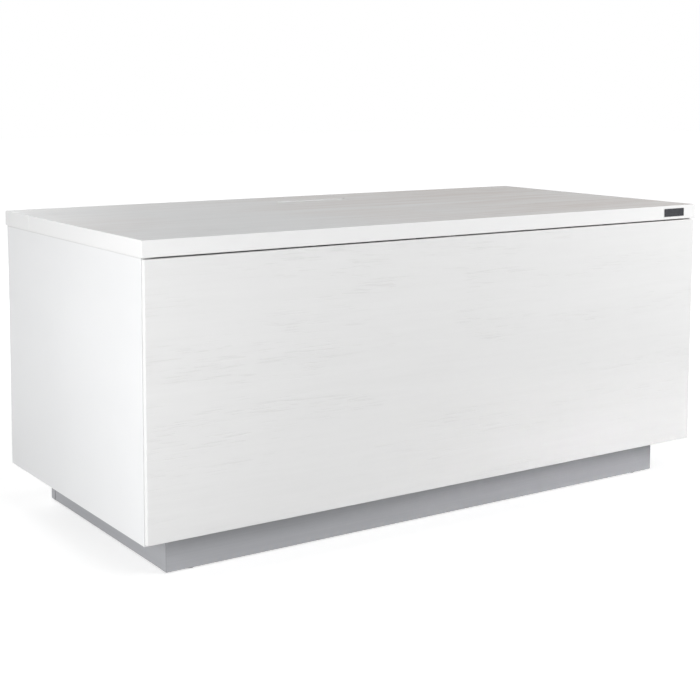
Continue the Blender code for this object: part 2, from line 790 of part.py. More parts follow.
for tag, face, way in HINGES:
    plate_x = inwards(face, way, FIT, PLATE_IN)
    arm_x = inwards(face, way, ARM_OUT, ARM_IN)
    foot_x = inwards(face, way, ARM_OUT + FIT, ARM_OUT + ARM_FOOT_WIDTH)
    pin_hole = circle((0.0, 0.0), PIVOT_R + FIT)
    add(
        f"hinge_plate_{tag}",
        plate_mesh(f"hinge_plate_{tag}", [PLATE_OUTLINE, pin_hole], PLATE_T),
        STEEL,
        (sum(plate_x) / 2, AXIS_Y, AXIS_Z),
    )
    add(
        f"pivot_pin_{tag}",
        turned_mesh(f"pivot_pin_{tag}", PIVOT_PROFILE, (way, 0, 0)),
        STEEL,
        (face, AXIS_Y, AXIS_Z),
    )
    arm = add(
        f"flap_arm_{tag}",
        plate_mesh(f"flap_arm_{tag}", [ARM_OUTLINE, pin_hole], ARM_T),
        STEEL,
        (sum(arm_x) / 2, AXIS_Y, AXIS_Z),
    )
    join(arm, box_mesh("foot", foot_x, (FOOT_FRONT, FOOT_BACK), (ARM_FOOT_BOTTOM, ARM_FOOT_TOP)))
    hang(arm, flap_axis)

# Stays: a flanged spigot on the side, a housing that turns on it, a rod that slides through
# the housing, and an anchor with a pin that carries the rod's eye on the flap
EYE_TURN = math.degrees(math.asin(ROD_WIDTH / 2 / ROD_EYE_R))
ROD_OUTLINE = arc((0.0, 0.0), ROD_EYE_R, EYE_TURN, 360 - EYE_TURN, 18) + arc(
    (ROD_END - ROD_WIDTH / 2, 0.0), ROD_WIDTH / 2, -90, 90, 8
)
FLANGE_OUTLINE = arc((FLANGE_HALF_LENGTH, 0.0), FLANGE_R, -90, 90, 10) + arc(
    (-FLANGE_HALF_LENGTH, 0.0), FLANGE_R, 90, 270, 10
)
ANCHOR_LOW = EYE_Z - ANCHOR_FOOT_HEIGHT / 2
ANCHOR_HIGH = EYE_Z + ANCHOR_FOOT_HEIGHT / 2
ANCHOR_OUTLINE = (
    [(FOOT_FRONT + FIT - EYE_Y, ANCHOR_LOW + FIT - EYE_Z)]
    + arc((0.0, 0.0), ANCHOR_EYE_R, -65, 65, 10)
    + [(FOOT_FRONT + FIT - EYE_Y, ANCHOR_HIGH - FIT - EYE_Z)]
)
STAY_PIN_PROFILE = [
    (0.0, STAY_PIN_HEAD_IN),
    (STAY_PIN_HEAD_R, STAY_PIN_HEAD_IN),
    (STAY_PIN_HEAD_R, STAY_PIN_HEAD_OUT),
    (STAY_PIN_R, STAY_PIN_HEAD_OUT),
    (STAY_PIN_R, ANCHOR_OUT),
    (0.0, ANCHOR_OUT),
]
for tag, face, way in (HINGES[0], HINGES[2]):
    flange_x = inwards(face, way, FIT, PLATE_IN)
    housing_x = inwards(face, way, HOUSING_OUT, HOUSING_IN)
    rod_x = inwards(face, way, ROD_OUT, ROD_IN)
    anchor_x = inwards(face, way, ANCHOR_OUT, ANCHOR_IN)
    anchor_foot_x = inwards(face, way, ANCHOR_OUT + FIT, ANCHOR_OUT + ANCHOR_FOOT_WIDTH)
    stop_x = inwards(face, way, (ROD_OUT + ROD_IN - STOP_LENGTH) / 2, (ROD_OUT + ROD_IN + STOP_LENGTH) / 2)
    eye_hole = circle((0.0, 0.0), STAY_PIN_R + FIT)

    base = add(
        f"stay_base_{tag}",
        plate_mesh(f"stay_base_{tag}", [FLANGE_OUTLINE], PLATE_T),
        ZINC,
        (sum(flange_x) / 2, SPIGOT_Y, SPIGOT_Z),
    )
    join(
        base,
        cylinder_mesh(
            "spigot",
            (face + way * (FIT + PLATE_T / 2), SPIGOT_Y, SPIGOT_Z),
            (face + way * SPIGOT_IN, SPIGOT_Y, SPIGOT_Z),
            SPIGOT_R,
            PIN_SIDES,
        ),
    )

    housing_middle = (sum(housing_x) / 2, SPIGOT_Y, SPIGOT_Z)
    housing_size = (HOUSING_IN - HOUSING_OUT, HOUSING_LENGTH, HOUSING_HEIGHT)
    housing = add(
        f"stay_housing_{tag}",
        box_mesh(f"stay_housing_{tag}", *[(-size / 2, size / 2) for size in housing_size]),
        GREY_PLASTIC,
        housing_middle,
        ROD_TILT,
    )
    bevel(housing, HOUSING_EDGE_R)
    channel = box_mesh(
        "channel",
        (rod_x[0] - FIT - housing_middle[0], rod_x[1] + FIT - housing_middle[0]),
        beyond(-HOUSING_LENGTH / 2, HOUSING_LENGTH / 2),
        (-ROD_WIDTH / 2 - FIT, ROD_WIDTH / 2 + FIT),
    )
    channel.transform(Matrix.Translation(housing_middle) @ Matrix.Rotation(ROD_TILT, 4, "X"))
    bore = cylinder_mesh(
        "bore",
        (face + way * PLATE_IN, SPIGOT_Y, SPIGOT_Z),
        (face + way * SPIGOT_BORE_IN, SPIGOT_Y, SPIGOT_Z),
        SPIGOT_R + FIT,
        PIN_SIDES,
    )
    cut(housing, channel, bore)

    rod = add(
        f"stay_rod_{tag}",
        plate_mesh(f"stay_rod_{tag}", [ROD_OUTLINE, eye_hole], ROD_T),
        STEEL,
        (sum(rod_x) / 2, EYE_Y, EYE_Z),
        ROD_TILT,
    )
    stop_y = EYE_Y + STOP_AT * math.cos(ROD_TILT)
    stop_z = EYE_Z + STOP_AT * math.sin(ROD_TILT)
    join(
        rod,
        cylinder_mesh("stop", (stop_x[0], stop_y, stop_z), (stop_x[1], stop_y, stop_z), STOP_R, PIN_SIDES),
    )

    anchor = add(
        f"stay_anchor_{tag}",
        plate_mesh(f"stay_anchor_{tag}", [ANCHOR_OUTLINE, eye_hole], ARM_T),
        ZINC,
        (sum(anchor_x) / 2, EYE_Y, EYE_Z),
    )
    join(anchor, box_mesh("foot", anchor_foot_x, (FOOT_FRONT, FOOT_BACK), (ANCHOR_LOW, ANCHOR_HIGH)))
    stay_pin = add(
        f"stay_pin_{tag}",
        turned_mesh(f"stay_pin_{tag}", STAY_PIN_PROFILE, (way, 0, 0)),
        STEEL,
        (face, EYE_Y, EYE_Z),
    )
    for piece in (rod, anchor, stay_pin):
        hang(piece, flap_axis)

# Push latch: housing on the partition, plunger with a magnet, and the strike on the flap
latch_housing = board(
    "latch_housing",
    (LATCH_X - LATCH_WIDTH / 2, LATCH_X + LATCH_WIDTH / 2),
    (LATCH_FRONT, LATCH_REAR),
    (LATCH_Z - LATCH_WIDTH / 2, LATCH_Z + LATCH_WIDTH / 2),
    GREY_PLASTIC,
    LATCH_EDGE_R,
)
cut(
    latch_housing,
    cylinder_mesh(
        "latch_bore",
        (LATCH_X, LATCH_FRONT - LATCH_BACK_WALL, LATCH_Z),
        (LATCH_X, LATCH_REAR - LATCH_BACK_WALL, LATCH_Z),
        PLUNGER_R + PLUNGER_PLAY,
        PIN_SIDES,
    ),
)
latch_axis = add_axis("latch_axis", (LATCH_X, PLUNGER_FRONT, LATCH_Z))
plunger = add(
    "latch_plunger",
    cylinder_mesh(
        "latch_plunger", (0.0, 0.0, 0.0), (0.0, PLUNGER_REAR - PLUNGER_FRONT, 0.0), PLUNGER_R, PIN_SIDES
    ),
    GREY_PLASTIC,
    (LATCH_X, PLUNGER_FRONT, LATCH_Z),
)
magnet = add(
    "latch_magnet",
    cylinder_mesh("latch_magnet", (0.0, 0.0, 0.0), (0.0, MAGNET_T, 0.0), PLUNGER_R, PIN_SIDES),
    MAGNET,
    (LATCH_X, MAGNET_FRONT, LATCH_Z),
)
hang(plunger, latch_axis)
hang(magnet, latch_axis)
strike = board(
    "latch_strike",
    (LATCH_X - STRIKE_SIDE / 2, LATCH_X + STRIKE_SIDE / 2),
    (FLAP_BACK + FIT, STRIKE_REAR),
    (LATCH_Z - STRIKE_SIDE / 2, LATCH_Z + STRIKE_SIDE / 2),
    STEEL,
    STRIKE_T / 4,
)
hang(strike, flap_axis)

# Joint places
print("flap axis", round(AXIS_Y, 6), round(AXIS_Z, 6))
print("rod eye", round(EYE_Y, 6), round(EYE_Z, 6))
print("housing spigot", round(SPIGOT_Y, 6), round(SPIGOT_Z, 6))
print("latch", round(LATCH_X, 6), round(PLUNGER_FRONT, 6), round(LATCH_Z, 6))
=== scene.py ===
import math

import bmesh
import bpy
from mathutils import Euler, Matrix, Vector
from mathutils.geometry import tessellate_polygon


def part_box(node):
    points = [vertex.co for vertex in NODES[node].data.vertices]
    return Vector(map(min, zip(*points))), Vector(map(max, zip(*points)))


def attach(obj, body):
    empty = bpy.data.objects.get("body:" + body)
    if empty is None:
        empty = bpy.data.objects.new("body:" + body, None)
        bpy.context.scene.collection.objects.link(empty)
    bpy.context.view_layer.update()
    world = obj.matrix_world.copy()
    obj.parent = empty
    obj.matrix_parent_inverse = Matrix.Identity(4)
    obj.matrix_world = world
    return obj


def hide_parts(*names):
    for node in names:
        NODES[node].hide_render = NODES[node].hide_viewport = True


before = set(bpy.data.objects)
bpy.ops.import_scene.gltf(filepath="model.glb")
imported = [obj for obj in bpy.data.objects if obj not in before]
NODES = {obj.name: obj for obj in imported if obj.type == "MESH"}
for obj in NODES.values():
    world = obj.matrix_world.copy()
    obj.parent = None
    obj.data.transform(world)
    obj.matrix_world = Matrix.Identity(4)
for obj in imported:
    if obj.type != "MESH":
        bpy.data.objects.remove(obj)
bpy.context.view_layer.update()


# Procedural materials, with lengths in metres and the sizes of noise in cells per metre

NOISE_RANGE = (0.3, 0.7)
FACE_RANGE = (0.85, 0.97)
FLAT_RANGE = (0.90, 0.98)


class Finish:
    """A procedural material: one Principled surface and the texture nodes that feed it."""

    def __init__(self, name, shift=(0.0, 0.0, 0.0), **values):
        self.material = bpy.data.materials.new(name)
        self.material.use_nodes = True
        self.tree = self.material.node_tree
        self.surface = self.tree.nodes["Principled BSDF"]
        self.shift = shift
        coordinates = self.tree.nodes.new("ShaderNodeTexCoord")
        self.place = coordinates.outputs["Object"]
        self.normal = coordinates.outputs["Normal"]
        for socket, value in values.items():
            self.surface.inputs[socket.replace("_", " ")].default_value = value

    def node(self, kind, **settings):
        made = self.tree.nodes.new(kind)
        for name, value in settings.items():
            setattr(made, name, value)
        return made

    def feed(self, socket, value):
        """Sets a socket to a constant, or links it to another node's output."""
        if isinstance(value, bpy.types.NodeSocket):
            self.tree.links.new(value, socket)
        else:
            socket.default_value = value

    def noise(self, cells, detail, roughness, distortion=0.0):
        """Noise with this many cells to the metre, alike on all axes or given for X, Y and Z."""
        mapping = self.node("ShaderNodeMapping")
        mapping.inputs["Location"].default_value = self.shift
        mapping.inputs["Scale"].default_value = cells if isinstance(cells, tuple) else (cells, cells, cells)
        self.feed(mapping.inputs["Vector"], self.place)
        noise = self.node("ShaderNodeTexNoise")
        noise.inputs["Scale"].default_value = 1.0
        noise.inputs["Detail"].default_value = detail
        noise.inputs["Roughness"].default_value = roughness
        noise.inputs["Distortion"].default_value = distortion
        self.feed(noise.inputs["Vector"], mapping.outputs["Vector"])
        return noise.outputs["Fac"]

    def spread(self, value, span, to=(0.0, 1.0)):
        """Maps one span of values to another, clamped."""
        made = self.node("ShaderNodeMapRange")
        made.inputs["From Min"].default_value, made.inputs["From Max"].default_value = span
        made.inputs["To Min"].default_value, made.inputs["To Max"].default_value = to
        self.feed(made.inputs["Value"], value)
        return made.outputs["Result"]

    def math(self, operation, first, second=0.0):
        made = self.node("ShaderNodeMath", operation=operation)
        self.feed(made.inputs[0], first)
        self.feed(made.inputs[1], second)
        return made.outputs["Value"]

    def mix(self, factor, first, second):
        """A colour between two, each of them a constant or another node's output."""
        made = self.node("ShaderNodeMix", data_type="RGBA")
        self.feed(made.inputs["Factor"], factor)
        sockets = [socket for socket in made.inputs if socket.type == "RGBA"]
        for socket, colour in zip(sockets, (first, second)):
            linked = isinstance(colour, bpy.types.NodeSocket)
            self.feed(socket, colour if linked else (*colour, 1.0))
        return next(socket for socket in made.outputs if socket.type == "RGBA")

    def part(self, vector, axis):
        """One coordinate of a vector."""
        made = self.node("ShaderNodeSeparateXYZ")
        self.feed(made.inputs["Vector"], vector)
        return made.outputs[axis]

    def facing(self, axis, span=FACE_RANGE):
        """1 where the surface looks along this axis of the piece, either way, and 0 elsewhere."""
        return self.spread(self.math("ABSOLUTE", self.part(self.normal, axis)), span)

    def bump(self, height, distance, strength):
        made = self.node("ShaderNodeBump")
        made.inputs["Strength"].default_value = strength
        made.inputs["Distance"].default_value = distance
        self.feed(made.inputs["Height"], height)
        self.feed(self.surface.inputs["Normal"], made.outputs["Normal"])

    def colour(self, value):
        self.feed(self.surface.inputs["Base Color"], value)

    def roughness(self, value):
        self.feed(self.surface.inputs["Roughness"], value)


# White laminate with a wood grain
EDGE_WHITE = (0.875, 0.875, 0.872)
GRAIN_SHIFT = Vector((3.1, 5.7, 2.3))
BAND_RANGE = (0.34, 0.66)
STREAK_RANGE = (0.32, 0.68)
STREAKS_PER_BAND = 4.0
BAND_SHARE = 0.5
STREAK_SHARE = 0.5
# Range of the warm stain, which on the top is partly painted shade that darkens and browns the grain
STAIN_AND_SHADE_RANGE = (0.39, 0.55)
PORE_RANGE = (0.58, 0.66)
CLUSTER_RANGE = (0.48, 0.60)
PORE_GREY = (0.71, 0.71, 0.705)
PORE_TINT = 0.20
PORE_DULLING = 0.10
GRAIN_ROUGHNESS = (0.52, 0.64)
PORE_RELIEF = -1.0
THREAD_RELIEF = 0.22
GRAIN_HEIGHT = 0.00036
# Painted light: the span along X over which the top's left end is painted paler, and that pale colour
PAINTED_LIFT_SPAN = (-0.20, 0.30)
PAINTED_LIFT_COLOUR = (0.93, 0.933, 0.932)


def grained_white(name, face_axis, light, dark, warm, band, seed, painted_lift=0.0):
    """A grain along X on one pair of faces, with plain edges: bands, streaks, a warm stain that is
    partly painted shade, and short embossed pores in clusters. The left end can be painted paler, which is
    painted light."""
    finish = Finish(name, seed * GRAIN_SHIFT, Specular_IOR_Level=0.36)
    on_face = finish.facing(face_axis)
    across = 1.0 / band
    finer = STREAKS_PER_BAND / band
    bands = finish.noise(cells=(2.4, across, across), detail=5.0, roughness=0.66, distortion=0.3)
    streaks = finish.noise(cells=(7.0, finer, finer), detail=3.0, roughness=0.6, distortion=0.2)
    # The warm stain is partly a tone of the decor and partly painted shade, strongest on the top
    stain_and_shade = finish.noise(cells=1.5, detail=3.0, roughness=0.55, distortion=0.4)
    threads = finish.noise(cells=(7.0, 420.0, 420.0), detail=3.0, roughness=0.6)
    cells = finish.noise(cells=(24.0, 520.0, 520.0), detail=1.0, roughness=0.5)
    clusters = finish.noise(cells=(3.4, 24.0, 24.0), detail=3.0, roughness=0.6, distortion=0.8)
    pores = finish.math(
        "MULTIPLY",
        finish.spread(cells, PORE_RANGE),
        finish.spread(clusters, CLUSTER_RANGE),
    )
    pores = finish.math("MULTIPLY", pores, on_face)
    figure = finish.math(
        "ADD",
        finish.math("MULTIPLY", finish.spread(bands, BAND_RANGE), BAND_SHARE),
        finish.math("MULTIPLY", finish.spread(streaks, STREAK_RANGE), STREAK_SHARE),
    )
    wood = finish.mix(figure, light, finish.mix(finish.spread(stain_and_shade, STAIN_AND_SHADE_RANGE), dark, warm))
    # Painted light: the grain is lifted toward a pale colour at the left end
    if painted_lift:
        painted_lift_share = finish.spread(finish.part(finish.place, "X"), PAINTED_LIFT_SPAN, (painted_lift, 0.0))
        wood = finish.mix(painted_lift_share, wood, PAINTED_LIFT_COLOUR)
    shade = finish.mix(on_face, EDGE_WHITE, wood)
    finish.colour(finish.mix(finish.math("MULTIPLY", pores, PORE_TINT), shade, PORE_GREY))
    finish.roughness(
        finish.math(
            "ADD",
            finish.spread(threads, NOISE_RANGE, GRAIN_ROUGHNESS),
            finish.math("MULTIPLY", pores, PORE_DULLING),
        )
    )
    relief = finish.math(
        "ADD",
        finish.math("MULTIPLY", pores, PORE_RELIEF),
        finish.math("MULTIPLY", finish.math("MULTIPLY", threads, on_face), THREAD_RELIEF),
    )
    finish.bump(relief, distance=GRAIN_HEIGHT, strength=0.6)
    return finish.material


# Smooth white melamine
PEARL_SHIFT = Vector((2.9, 4.1, 1.7))
# Painted shade: how far below the top the grey line under the top's overhang lies, and its grey
OVERHANG_SHADE_DROPS = (0.0021, 0.0017)
OVERHANG_SHADE_GREY = (0.715, 0.715, 0.715)


def smooth_white(name, light, dark, rough, seed, top=None):
    """A fine pearl skin with hardly any mottling, and a grey line of painted shade just under the top's
    overhang if its height is given.
    """
    finish = Finish(name, seed * PEARL_SHIFT, Specular_IOR_Level=0.40)
    cloud = finish.noise(cells=5.0, detail=4.0, roughness=0.6)
    pearl = finish.noise(cells=900.0, detail=2.0, roughness=0.6)
    shade = finish.mix(finish.spread(cloud, NOISE_RANGE), light, dark)
    # Painted shade: a thin grey line along the joint just under the top, where the top's overhang shades
    # the side
    if top is not None:
        span = [top - drop for drop in OVERHANG_SHADE_DROPS]
        overhang_shade = finish.spread(finish.part(finish.place, "Z"), span)
        shade = finish.mix(overhang_shade, shade, OVERHANG_SHADE_GREY)
    finish.colour(shade)
    finish.roughness(finish.spread(cloud, NOISE_RANGE, rough))
    finish.bump(pearl, distance=0.00005, strength=0.35)
    return finish.material


# Coated hardboard
COAT_LIGHT = (0.76, 0.755, 0.74)
COAT_DARK = (0.70, 0.695, 0.675)
FIBRE_COLOUR = (0.60, 0.585, 0.55)
FIBRE_RANGE = (0.62, 0.75)
FIBRE_TINT = 0.4
COAT_ROUGHNESS = (0.50, 0.66)


def hardboard_white(name):
    """Thin hardboard with a rolled white coat over a faint fibre pattern."""
    finish = Finish(name, Specular_IOR_Level=0.30)
    fibres = finish.noise(cells=(160.0, 160.0, 260.0), detail=5.0, roughness=0.65, distortion=1.2)
    cloud = finish.noise(cells=7.0, detail=4.0, roughness=0.6)
    shade = finish.mix(finish.spread(cloud, NOISE_RANGE), COAT_LIGHT, COAT_DARK)
    shown = finish.spread(fibres, FIBRE_RANGE, (0.0, FIBRE_TINT))
    finish.colour(finish.mix(shown, shade, FIBRE_COLOUR))
    finish.roughness(finish.spread(fibres, NOISE_RANGE, COAT_ROUGHNESS))
    finish.bump(fibres, distance=0.00012, strength=0.5)
    return finish.material


# Brushed grey foil
FOIL_LIGHT = (0.415, 0.42, 0.44)
FOIL_DARK = (0.375, 0.38, 0.40)
FOIL_ARRIS = (0.16, 0.16, 0.17)
BRUSH_LIGHT = (0.46, 0.465, 0.485)
BRUSH_RANGE = (0.35, 0.7)
BRUSH_TINT = 0.5
FOIL_ROUGHNESS = (0.40, 0.54)


def brushed_grey(name):
    """Aluminium-look foil of the plinth, with brush lines along its length and darker arrises."""
    finish = Finish(name, Metallic=0.10, Specular_IOR_Level=0.30)
    lines = finish.noise(cells=(3.0, 3.0, 900.0), detail=3.0, roughness=0.6)
    patches = finish.noise(cells=(2.2, 2.2, 14.0), detail=4.0, roughness=0.6, distortion=0.4)
    shade = finish.mix(finish.spread(patches, NOISE_RANGE), FOIL_LIGHT, FOIL_DARK)
    brushed = finish.mix(finish.spread(lines, BRUSH_RANGE, (0.0, BRUSH_TINT)), shade, BRUSH_LIGHT)
    flat = finish.facing("X", FLAT_RANGE)
    for axis in "YZ":
        flat = finish.math("MAXIMUM", flat, finish.facing(axis, FLAT_RANGE))
    finish.colour(finish.mix(flat, FOIL_ARRIS, brushed))
    finish.roughness(finish.spread(lines, NOISE_RANGE, FOIL_ROUGHNESS))
    finish.bump(lines, distance=0.00006, strength=0.5)
    return finish.material


# Metal and plastic
ROLLING_CELLS = 300.0
ROLLING_RANGE = (0.55, 0.75)
ROLLING_DULLING = 0.08


def plated_metal(name, light, dark, rough, cells=ROLLING_CELLS):
    """Cloudy plating with a few fine rolling lines."""
    finish = Finish(name, Metallic=1.0)
    cloud = finish.noise(cells=120.0, detail=4.0, roughness=0.65, distortion=0.5)
    lines = finish.noise(cells=cells, detail=3.0, roughness=0.6)
    finish.colour(finish.mix(finish.spread(cloud, NOISE_RANGE), light, dark))
    finish.roughness(
        finish.math(
            "ADD",
            finish.spread(cloud, NOISE_RANGE, rough),
            finish.spread(lines, ROLLING_RANGE, (0.0, ROLLING_DULLING)),
        )
    )
    finish.bump(lines, distance=0.00004, strength=0.4)
    return finish.material


def moulded_plastic(name, light, dark, rough):
    """Moulded plastic with a fine spark-eroded texture."""
    finish = Finish(name, Specular_IOR_Level=0.45)
    grain = finish.noise(cells=2600.0, detail=2.0, roughness=0.6)
    cloud = finish.noise(cells=60.0, detail=3.0, roughness=0.6)
    finish.colour(finish.mix(finish.spread(cloud, NOISE_RANGE), light, dark))
    finish.roughness(finish.spread(cloud, NOISE_RANGE, rough))
    finish.bump(grain, distance=0.00003, strength=0.5)
    return finish.material


# The top carries painted light, a paler left end, and its warm stain is partly painted shade
TOP_WHITE = grained_white(
    "top_white_grain",
    face_axis="Z",
    light=(0.85, 0.852, 0.849),
    dark=(0.725, 0.723, 0.719),
    warm=(0.655, 0.592, 0.556),
    band=0.022,
    seed=1.0,
    painted_lift=0.52,
)
FLAP_WHITE = grained_white(
    "flap_white_grain",
    face_axis="Y",
    light=(0.832, 0.831, 0.828),
    dark=(0.812, 0.811, 0.808),
    warm=(0.805, 0.803, 0.799),
    band=0.030,
    seed=2.0,
)
SIDE_WHITE = smooth_white(
    "side_white",
    light=(0.84, 0.845, 0.85),
    dark=(0.825, 0.83, 0.835),
    rough=(0.36, 0.46),
    seed=1.0,
    # The side's top height places its painted shade line under the top's overhang
    top=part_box("side_panel_left")[1].z,
)
INSIDE_WHITE = smooth_white(
    "inside_white",
    light=(0.81, 0.81, 0.80),
    dark=(0.785, 0.785, 0.775),
    rough=(0.42, 0.54),
    seed=2.0,
)
HARDBOARD = hardboard_white("rear_hardboard")
PLINTH_GREY = brushed_grey("plinth_brushed_grey")
STEEL = plated_metal(
    "zinc_plated_steel",
    light=(0.66, 0.67, 0.68),
    dark=(0.56, 0.57, 0.59),
    rough=(0.26, 0.38),
)
DIE_CAST = plated_metal(
    "nickel_die_casting",
    light=(0.58, 0.575, 0.56),
    dark=(0.48, 0.475, 0.46),
    rough=(0.34, 0.48),
)
PLASTIC = moulded_plastic(
    "grey_plastic",
    light=(0.40, 0.405, 0.41),
    dark=(0.36, 0.365, 0.37),
    rough=(0.42, 0.54),
)
CAP_WHITE = moulded_plastic(
    "cap_white",
    light=(0.80, 0.80, 0.79),
    dark=(0.77, 0.77, 0.76),
    rough=(0.36, 0.46),
)
MAGNET = plated_metal(
    "magnet_nickel",
    light=(0.16, 0.16, 0.165),
    dark=(0.11, 0.11, 0.115),
    rough=(0.34, 0.46),
)
DARK_PLATE = plated_metal(
    "dark_plate",
    light=(0.048, 0.0495, 0.054),
    dark=(0.037, 0.038, 0.0425),
    rough=(0.36, 0.50),
    cells=(900.0, 900.0, 20.0),
)

SLOT_FINISH = {
    "white_grain": TOP_WHITE,
    "white_smooth": SIDE_WHITE,
    "white_inside": INSIDE_WHITE,
    "white_hardboard": HARDBOARD,
    "grey_plinth": PLINTH_GREY,
    "plated_steel": STEEL,
    "die_cast_zinc": DIE_CAST,
    "grey_plastic": PLASTIC,
    "dark_magnet": MAGNET,
    "dark_plate": DARK_PLATE,
}
NODE_FINISH = {"flap_panel": FLAP_WHITE}


# CAD nodes: their finish, and soft shading of their rounded edges

SOFT_EDGE_ANGLE = math.radians(50)
WELD_DISTANCE = 0.00001
FLAT_FACE_WEIGHT = 80


def soft_edges_group():
    """Geometry nodes that weld a node's facets and shade it smooth up to an angle."""
    group = bpy.data.node_groups.new("soft_edges", "GeometryNodeTree")
    group.interface.new_socket("Geometry", in_out="INPUT", socket_type="NodeSocketGeometry")
    group.interface.new_socket("Geometry", in_out="OUTPUT", socket_type="NodeSocketGeometry")
    start = group.nodes.new("NodeGroupInput")
    weld = group.nodes.new("GeometryNodeMergeByDistance")
    weld.inputs["Distance"].default_value = WELD_DISTANCE
    smooth = group.nodes.new("GeometryNodeSetShadeSmooth")
    sharp = group.nodes.new("GeometryNodeSetShadeSmooth")
    sharp.domain = "EDGE"
    sharp.inputs["Shade Smooth"].default_value = False
    angle = group.nodes.new("GeometryNodeInputMeshEdgeAngle")
    compare = group.nodes.new("FunctionNodeCompare")
    compare.operation = "GREATER_THAN"
    compare.inputs["B"].default_value = SOFT_EDGE_ANGLE
    end = group.nodes.new("NodeGroupOutput")
    link = group.links.new
    link(start.outputs[0], weld.inputs["Geometry"])
    link(weld.outputs["Geometry"], smooth.inputs["Geometry"])
    link(smooth.outputs["Geometry"], sharp.inputs["Geometry"])
    link(angle.outputs["Unsigned Angle"], compare.inputs["A"])
    link(compare.outputs["Result"], sharp.inputs["Selection"])
    link(sharp.outputs["Geometry"], end.inputs[0])
    return group


SOFT_EDGES = soft_edges_group()


def soften(piece):
    piece.modifiers.new("soft_edges", "NODES").node_group = SOFT_EDGES
    weighted = piece.modifiers.new("flat_faces", "WEIGHTED_NORMAL")
    weighted.keep_sharp = True
    weighted.weight = FLAT_FACE_WEIGHT


for name, node in NODES.items():
    old = node.data.materials[0].name if node.data.materials else None
    finish = NODE_FINISH.get(name) or SLOT_FINISH.get(old) or INSIDE_WHITE
    for slot in node.material_slots:
        slot.link = "OBJECT"
        slot.material = finish
    soften(node)


# Shapes of the fittings, made about Z

FITTING_EDGE_ANGLE = math.radians(40)
SCREW_SINK = 0.0002
ROUND_SIDES = 32
HEAD_SIDES = 28

# Driver recesses, as shares of their reach
CROSS = [(1.0, -0.2), (1.0, 0.2), (0.2, 0.2), (0.2, 1.0), (-0.2, 1.0), (-0.2, 0.2)]
CROSS += [(-x, -y) for x, y in CROSS]
SLOT = [(1.0, -0.16), (1.0, 0.16), (-1.0, 0.16), (-1.0, -0.16)]
RECESS_REACH = 0.55
RECESS_DEPTH = 0.0012
RECESS_TAPER = 0.7

# Rounded tops, as shares of a head's radius and rise
HEAD_CURVE = [(1.0, 0.3), (0.94, 0.75), (0.80, 1.0)]
DOME_CURVE = [(1.0, 0.35), (0.93, 0.62), (0.74, 0.85), (0.42, 0.97), (0.12, 1.0)]
PAD_WALL_SHARE = 0.6
PAD_RIM = 0.0004


def circle(mesh, radius, height, sides):
    turns = [2 * math.pi * step / sides for step in range(sides)]
    return [mesh.verts.new((radius * math.cos(t), radius * math.sin(t), height)) for t in turns]


def skin(mesh, loops):
    """Quads between each loop and the next one, which has as many points."""
    for first, second in zip(loops, loops[1:]):
        for here in range(len(first)):
            after = (here + 1) % len(first)
            mesh.faces.new((first[here], first[after], second[after], second[here]))


def fill(mesh, *loops):
    """Closes an outline, with holes in it where more loops are given."""
    corners = [corner for loop in loops for corner in loop]
    for triangle in tessellate_polygon([[corner.co for corner in loop] for loop in loops]):
        mesh.faces.new([corners[index] for index in triangle])


def turned(profile, sides=ROUND_SIDES):
    """A solid of rings (radius, height), closed flat at both ends."""
    mesh = bmesh.new()
    loops = [circle(mesh, radius, height, sides) for radius, height in profile]
    skin(mesh, loops)
    mesh.faces.new(loops[0])
    mesh.faces.new(loops[-1])
    return mesh


def screw_head(radius, rise, outline=CROSS, reach=RECESS_REACH):
    """A low rounded head with a driver recess, its underside a little below the surface."""
    mesh = bmesh.new()
    loops = [circle(mesh, radius, -SCREW_SINK, HEAD_SIDES)]
    loops += [circle(mesh, radius * across, rise * up, HEAD_SIDES) for across, up in HEAD_CURVE]
    skin(mesh, loops)
    mesh.faces.new(loops[0])
    wide = radius * reach
    narrow = wide * RECESS_TAPER
    mouth = [mesh.verts.new((x * wide, y * wide, rise)) for x, y in outline]
    floor = [mesh.verts.new((x * narrow, y * narrow, rise - RECESS_DEPTH)) for x, y in outline]
    fill(mesh, loops[-1], mouth)
    skin(mesh, [mouth, floor])
    fill(mesh, floor)
    return mesh


def rivet(length, radius, rise, shank):
    """A domed rivet with its head at the far end of its length."""
    seat = length - rise
    dome = [(radius * across, seat + rise * up) for across, up in DOME_CURVE]
    return turned([(shank, 0.0), (shank, seat), (radius, seat), *dome])


def oval_pad(reach, radius, rise):
    """A low pad with round ends, reach from its middle to each round, with a softened rim."""
    mesh = bmesh.new()
    loops = []
    for inset, height in ((0.0, -SCREW_SINK), (0.0, PAD_WALL_SHARE * rise), (PAD_RIM, rise)):
        loop = circle(mesh, radius - inset, height, ROUND_SIDES)
        for corner in loop:
            corner.co.x += math.copysign(reach, corner.co.x)
        loops.append(loop)
    skin(mesh, loops)
    mesh.faces.new(loops[0])
    mesh.faces.new(loops[-1])
    return mesh


def place(mesh, where, way):
    """Turns a mesh's Z to a direction and moves it there."""
    turn = Vector((0, 0, 1)).rotation_difference(Vector(way)).to_matrix().to_4x4()
    mesh.transform(Matrix.Translation(where) @ turn)
    return mesh


def place_tilted(mesh, where, way, tilt):
    """Lays a mesh on a face that looks along X, its own X along a slope in the side view."""
    along = Vector((0.0, math.cos(tilt), math.sin(tilt)))
    out = Vector((way, 0.0, 0.0))
    axes = Matrix((along, out.cross(along), out)).transposed().to_4x4()
    mesh.transform(Matrix.Translation(where) @ axes)
    return mesh


# Fittings on the CAD's hardware: each is one piece, and may take the place of nodes


